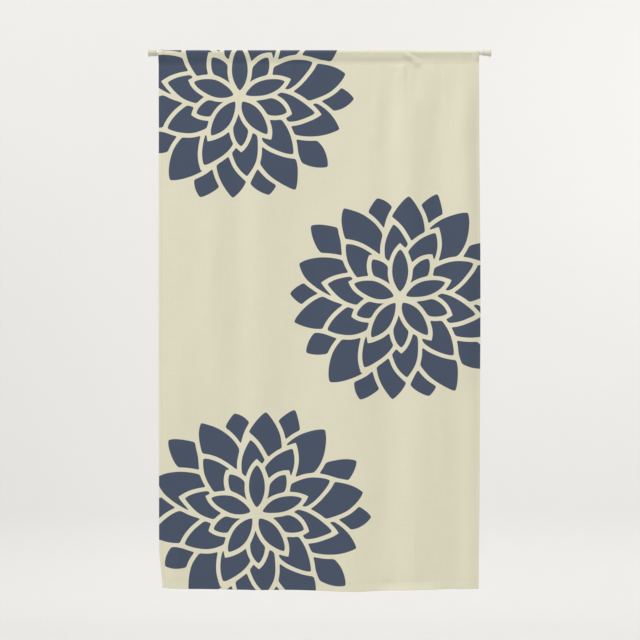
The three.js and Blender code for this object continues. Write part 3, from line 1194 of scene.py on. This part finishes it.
def turned_piece(name, profile, sides):
    """A piece turned about the rod's axis: x is along, y and z are radius times the angle's sine and cosine.

    The profile is rows of along and radius. It closes on itself, or begins and ends on the axis in one point.
    """
    along, radius = np.array(profile, dtype=float).T
    angle = np.linspace(0.0, 2.0 * math.pi, sides, endpoint=False)
    closed = radius[0] > 0.0
    ring = slice(None) if closed else slice(1, -1)
    x = np.repeat(along[ring][:, None], sides, axis=1)
    y = radius[ring][:, None] * np.sin(angle)
    z = radius[ring][:, None] * np.cos(angle)
    points = np.stack([x, y, z], axis=-1).reshape(-1, 3)
    rows = len(x)
    faces = grid_faces(rows, sides, wrap_rows=closed, wrap_columns=True).tolist()
    if not closed:
        first, last = len(points), len(points) + 1
        points = np.concatenate([points, [[along[0], 0.0, 0.0], [along[-1], 0.0, 0.0]]])
        low, high = np.arange(sides), (np.arange(sides) + 1) % sides
        final = (rows - 1) * sides
        start = np.stack([np.full(sides, first), low, high], axis=-1)
        end = np.stack([np.full(sides, last), high + final, low + final], axis=-1)
        faces += start.tolist() + end.tolist()
    made = mesh_object(name, points, faces)
    made.data.set_sharp_from_angle(angle=SHARP_ANGLE)
    return made


def rounded(corner_a, corner_b, corner_c, radius, steps=5):
    """A profile's corner rounded off: a quadratic curve that starts and ends the radius back on its legs."""
    a, b, c = (np.array(corner, dtype=float) for corner in (corner_a, corner_b, corner_c))
    start = b + (a - b) / np.linalg.norm(a - b) * radius
    end = b + (c - b) / np.linalg.norm(c - b) * radius
    t = np.linspace(0.0, 1.0, steps)[:, None]
    return ((1 - t) ** 2 * start + 2 * t * (1 - t) * b + t**2 * end).tolist()


def tube_profile(start, end, radius):
    """A tube's section with rounded rims, as a closed loop that runs back along its outside."""
    inner = radius - TUBE_WALL
    corners = [(end, radius), (start, radius), (start, inner), (end, inner)]
    points = []
    for index, corner in enumerate(corners):
        points += rounded(corners[index - 1], corner, corners[(index + 1) % len(corners)], TUBE_RIM)
    return points


def foot_profile(tube):
    """A rubber foot on a tube, its face at nought and its socket opening along +X.

    A broad lip bears on the post, with a shallow ring moulded into its face. Behind it the foot narrows to
    a collar that grips the tube, with a groove round it.
    """
    radius, length = FOOT_RADIUS, LEFT_FOOT_END - ROD_START
    socket = tube + 0.15 * MM
    collar = socket + 1.3 * MM
    recess, lip, waist = 0.5 * MM, 3.0 * MM, 4.2 * MM
    ring_start, ring_end = 0.40 * radius, 0.52 * radius
    flat_start, flat_end = 0.56 * radius, 0.58 * radius
    waist_radius = radius - 1.1 * MM
    shoulder, crest, groove = collar + 0.3 * MM, collar + 0.35 * MM, collar + 0.05 * MM
    crests = length - 3.4 * MM, length - 1.8 * MM
    grooves = length - 2.9 * MM, length - 2.3 * MM
    mouth = length - 2 * MM
    return [
        (recess, 0.0),
        (recess, ring_start),
        *rounded((recess, ring_start), (recess, ring_end), (0.0, flat_start), radius=0.3 * MM),
        (0.0, flat_end),
        *rounded((0.0, flat_end), (0.0, radius), (lip, radius), radius=0.9 * MM),
        *rounded((0.0, radius), (lip, radius), (waist, waist_radius), radius=0.5 * MM),
        *rounded((lip, radius), (waist, waist_radius), (length, shoulder), radius=0.6 * MM),
        (crests[0], crest),
        (grooves[0], groove),
        (grooves[1], groove),
        (crests[1], crest),
        *rounded((crests[1], crest), (length, shoulder), (length, socket), radius=0.7 * MM),
        *rounded((length, collar), (length, socket), (mouth, socket), radius=0.25 * MM),
        (SOCKET_FLOOR, socket),
        (SOCKET_FLOOR, 0.0),
    ]


def stitch_row(starts, ends, normals, settings):
    """A row of stitches as one block of points: each is a short spindle from its start to its end.

    Round a spindle the point is its middle line, arched off the cloth, plus the thread's radius times the
    square root of a half ellipse, turned through the angle about it. The starts and ends hold a place in
    space and a place on the flat plan, and the plan runs evenly from one to the other.
    """
    rings, sides = STITCH_RINGS, STITCH_SIDES
    starts, ends, from_plan, to_plan = starts[:, :3], ends[:, :3], starts[:, 3:], ends[:, 3:]
    way = ends - starts
    length = np.linalg.norm(way, axis=1, keepdims=True)
    way = way / length
    side = np.cross(way, normals)
    t = np.linspace(0.0, 1.0, rings)
    swell = np.sqrt(np.clip(1.0 - (2.0 * t - 1.0) ** 2, STITCH_TIP, 1.0))
    arch = settings.radius * (swell - STITCH_SINK)
    angle = np.linspace(0.0, 2.0 * math.pi, sides, endpoint=False)
    spine = starts[:, None] + way[:, None] * (length[:, None] * t[None, :, None])
    spine = spine + normals[:, None] * arch[:, None]
    around = normals[:, None] * np.cos(angle)[:, None] + side[:, None] * np.sin(angle)[:, None]
    points = spine[:, :, None] + around[:, None] * (settings.radius * swell)[None, :, None, None]
    base = (np.arange(len(starts)) * rings * sides)[:, None, None]
    quads = (grid_faces(rings, sides, wrap_columns=True)[None] + base).reshape(-1, 4)
    caps = np.array([np.arange(sides)[::-1], (rings - 1) * sides + np.arange(sides)])
    caps = (caps[None] + base).reshape(-1, sides)
    flat = blend(from_plan[:, None], to_plan[:, None], t[None, :, None])
    flat = np.broadcast_to(flat[:, :, None], (len(starts), rings, sides, 2))
    return points.reshape(-1, 3), flat.reshape(-1, 2), quads, caps


def sewn_line(across, below, outward, plan, settings):
    """Stitches along a line of the cloth, from places across and below, on its front or on a hem's back.

    The ink covers the front's stitches, so they keep their place on the flat plan. The back's lie off the
    print.
    """
    front = outward < 0.0
    hung = plan.hung(across, below, 0.0 if front else plan.stack, front)
    flat = (across, -SEAM_LEVEL - below) if front else (np.full_like(across, OFF_PRINT),) * 2
    line = np.column_stack([hung, *flat])
    run = np.concatenate([[0.0], np.cumsum(np.linalg.norm(np.diff(hung, axis=0), axis=1))])
    begin = (np.arange(int(run[-1] / settings.pitch)) + FIRST_STITCH) * settings.pitch
    starts, ends = (
        np.stack([np.interp(at, run, column) for column in line.T], axis=-1)
        for at in (begin, begin + settings.length)
    )
    normals = np.broadcast_to(np.array([0.0, outward, 0.0]), (len(begin), 3))
    return stitch_row(starts, ends, normals, settings)


# Operators


class NOREN_OT_hang_cloth(bpy.types.Operator):
    """Hangs the printed cloth on the rod, as one sheet with its sleeve and hems turned and sewn"""

    bl_idname = "noren.hang_cloth"
    bl_label = "Hang the cloth"

    def execute(self, context):
        settings = context.scene.noren_cloth
        points, flat, plan = cloth_surface(settings)
        rows, columns = points.shape[:2]
        cloth = mesh_object("noren_cloth", points, grid_faces(rows, columns), flat)
        cloth.data.materials.append(cotton_material("Printed cotton, face", settings, 1.0, 1.0))
        cloth.data.materials.append(cotton_material("Printed cotton, back", settings, BACK_INK, BACK_SHADE))
        wall = cloth.modifiers.new("Cloth thickness", "SOLIDIFY")
        wall.thickness = plan.layer
        wall.offset = -1.0
        wall.material_offset = 1
        carry(cloth, "printed_cotton", "cloth")
        return {"FINISHED"}


class NOREN_OT_sew_stitches(bpy.types.Operator):
    """Sews the stitch lines of the sleeve, the side hems and the bottom hem, on the front and on the back"""

    bl_idname = "noren.sew_stitches"
    bl_label = "Sew the stitches"

    def execute(self, context):
        cloth, settings = context.scene.noren_cloth, context.scene.noren_stitches
        plan = ClothPlan(cloth)
        side = cloth.side_hem - STITCH_INSET
        bottom = PANEL_DROP - (cloth.bottom_hem - STITCH_INSET)
        whole = np.linspace(SEWN_MARGIN, CLOTH_WIDTH - SEWN_MARGIN, PLACES_ACROSS)
        tall = np.linspace(SEWN_TOP, PANEL_DROP - SEWN_MARGIN, PLACES_DOWN)
        lines = (
            (whole, np.full_like(whole, SEAM_STITCH)),
            (whole, np.full_like(whole, bottom)),
            (np.full_like(tall, side), tall),
            (np.full_like(tall, CLOTH_WIDTH - side), tall),
        )
        blocks = [sewn_line(*line, outward, plan, settings) for line in lines for outward in (-1.0, 1.0)]
        points, flats, quads, caps = zip(*blocks)
        before = np.cumsum([0] + [len(block) for block in points[:-1]])
        shifted = [block + count for kind in (quads, caps) for block, count in zip(kind, before)]
        faces = [face for block in shifted for face in block]
        thread = mesh_object("noren_stitches", np.concatenate(points), faces, np.concatenate(flats))
        cotton = handled_material(
            "Sewing thread",
            settings.colour,
            scale=400.0,
            roughness=0.7,
            grain=0.05 * MM,
            ink_colour=cloth.ink,
            Sheen_Weight=0.2,
        )
        thread.data.materials.append(cotton)
        carry(thread, "printed_cotton")
        return {"FINISHED"}


class NOREN_OT_fit_rod(bpy.types.Operator):
    """Turns the rod's two tubes and its rubber feet, on the places of the solids that they stand for"""

    bl_idname = "noren.fit_rod"
    bl_label = "Fit the rod"

    def execute(self, context):
        settings = context.scene.noren_rod
        enamel = handled_material(
            "Rod enamel",
            settings.enamel,
            scale=70.0,
            roughness=0.3,
            grain=0.02 * MM,
            Coat_Weight=0.3,
            Coat_Roughness=0.15,
        )
        rubber = handled_material(
            "Foot rubber",
            settings.rubber,
            scale=70.0,
            roughness=0.7,
            grain=0.05 * MM,
            Specular_IOR_Level=0.35,
        )
        thick = tube_profile(TUBE_START, TUBE_STEP, THICK_RADIUS)
        thin = tube_profile(THIN_START, THIN_END, THIN_RADIUS)
        left = foot_profile(THICK_RADIUS)
        right = [(ROD_END - along, radius) for along, radius in foot_profile(THIN_RADIUS)][::-1]
        for name, profile, material, slot, node in (
            ("rod_thick_tube", thick, enamel, "white_enamel", "outer_tube"),
            ("rod_thin_tube", thin, enamel, "white_enamel", "inner_tube"),
            ("rod_left_foot", left, rubber, "foot_rubber", "left_foot"),
            ("rod_right_foot", right, rubber, "foot_rubber", "right_foot"),
        ):
            piece = turned_piece(name, profile, settings.sides)
            piece.data.materials.append(material)
            carry(piece, slot, node)
        return {"FINISHED"}


class NOREN_OT_set_stage(bpy.types.Operator):
    """Sets a pale floor that sweeps up into a backdrop, soft studio lights and the camera"""

    bl_idname = "noren.set_stage"
    bl_label = "Set the stage"

    def execute(self, context):
        settings = context.scene.noren_stage
        self.sweep(settings)
        self.lights(context, settings)
        self.camera(context, settings)
        context.scene.view_settings.view_transform = "Standard"
        return {"FINISHED"}

    def sweep(self, settings):
        """The floor and backdrop: a profile of floor, quarter circle and wall carried along X."""
        floor, back, bend = settings.floor_level, settings.backdrop_distance, BACKDROP_BEND
        angle = np.linspace(0.0, 0.5 * math.pi, BEND_STEPS + 1)
        y = np.concatenate([[FLOOR_FRONT], back - bend + bend * np.sin(angle), [back]])
        z = np.concatenate([[floor], floor + bend - bend * np.cos(angle), [BACKDROP_TOP]])
        x = np.linspace(STAGE_LEFT, STAGE_RIGHT, STAGE_COLUMNS)
        points = np.stack(np.broadcast_arrays(x[None, :], y[:, None], z[:, None]), axis=-1)
        ground = mesh_object("stage_floor", points, grid_faces(len(y), len(x))[:, ::-1])
        paint = handled_material(
            "Studio paint",
            settings.backdrop,
            scale=1.6,
            roughness=0.9,
            amount=0.12,
            Specular_IOR_Level=0.2,
        )
        ground.data.materials.append(paint)

    def lights(self, context, settings):
        """A large key light high at the left, a weaker one at the right, one on the backdrop, an even sky."""
        middle = Vector((0.5 * (ROD_START + ROD_END), 0.0, 0.5 * (ROD_START - HEM_LEVEL)))
        for name, place, aim, size, power in (
            ("Key", (-3.7, -5.0, 7.8), middle, 2.4, settings.key_power),
            ("Fill", (4.6, -4.6, 0.2), middle, 2.4, settings.fill_power),
            ("Backdrop light", (3.6, 0.6, 0.8), Vector((1.7, 3.0, -0.7)), 1.4, settings.backdrop_power),
        ):
            data = bpy.data.lights.new(name, "AREA")
            data.shape, data.size, data.energy = "SQUARE", size, power
            light = bpy.data.objects.new(name, data)
            light.location = place
            light.rotation_euler = (aim - Vector(place)).to_track_quat("-Z", "Y").to_euler()
            context.scene.collection.objects.link(light)
        world = bpy.data.worlds.new("Even sky")
        world.use_nodes = True
        sky = world.node_tree.nodes["Background"]
        sky.inputs["Color"].default_value = SKY_COLOUR
        sky.inputs["Strength"].default_value = settings.sky
        context.scene.world = world

    def camera(self, context, settings):
        """Level and square to the cloth, with the picture's middle and width set at the cloth."""
        data = bpy.data.cameras.new("Camera")
        data.sensor_width = SENSOR_WIDTH
        data.lens = data.sensor_width * settings.camera_distance / PICTURE_WIDTH
        camera = bpy.data.objects.new("Camera", data)
        camera.location = (PICTURE_MIDDLE[0], -settings.camera_distance, PICTURE_MIDDLE[1])
        camera.rotation_euler = (0.5 * math.pi, 0.0, 0.0)
        context.scene.collection.objects.link(camera)
        context.scene.camera = camera


STEPS = {
    "noren_rod": NOREN_OT_fit_rod,
    "noren_cloth": NOREN_OT_hang_cloth,
    "noren_stitches": NOREN_OT_sew_stitches,
    "noren_stage": NOREN_OT_set_stage,
}


class VIEW3D_PT_noren(bpy.types.Panel):
    """Lists the noren's sizes and the steps that make it"""

    bl_label = "Noren"
    bl_idname = "VIEW3D_PT_noren"
    bl_space_type = "VIEW_3D"
    bl_region_type = "UI"
    bl_category = "Noren"

    def draw(self, context):
        for name, step in STEPS.items():
            settings = getattr(context.scene, name)
            box = self.layout.box()
            for value in settings.__annotations__:
                box.prop(settings, value)
            box.operator(step.bl_idname)


SETTINGS = {
    "noren_rod": NorenRodSettings,
    "noren_cloth": NorenClothSettings,
    "noren_stitches": NorenStitchSettings,
    "noren_stage": NorenStageSettings,
}
CLASSES = (*SETTINGS.values(), *STEPS.values(), VIEW3D_PT_noren)


def register():
    for kind in CLASSES:
        bpy.utils.register_class(kind)
    for name, kind in SETTINGS.items():
        setattr(bpy.types.Scene, name, bpy.props.PointerProperty(type=kind))


def unregister():
    for name in SETTINGS:
        delattr(bpy.types.Scene, name)
    for kind in reversed(CLASSES):
        bpy.utils.unregister_class(kind)


def main():
    register()
    bpy.ops.noren.fit_rod()
    bpy.ops.noren.hang_cloth()
    bpy.ops.noren.sew_stitches()
    bpy.ops.noren.set_stage()


if __name__ == "__main__":
    main()
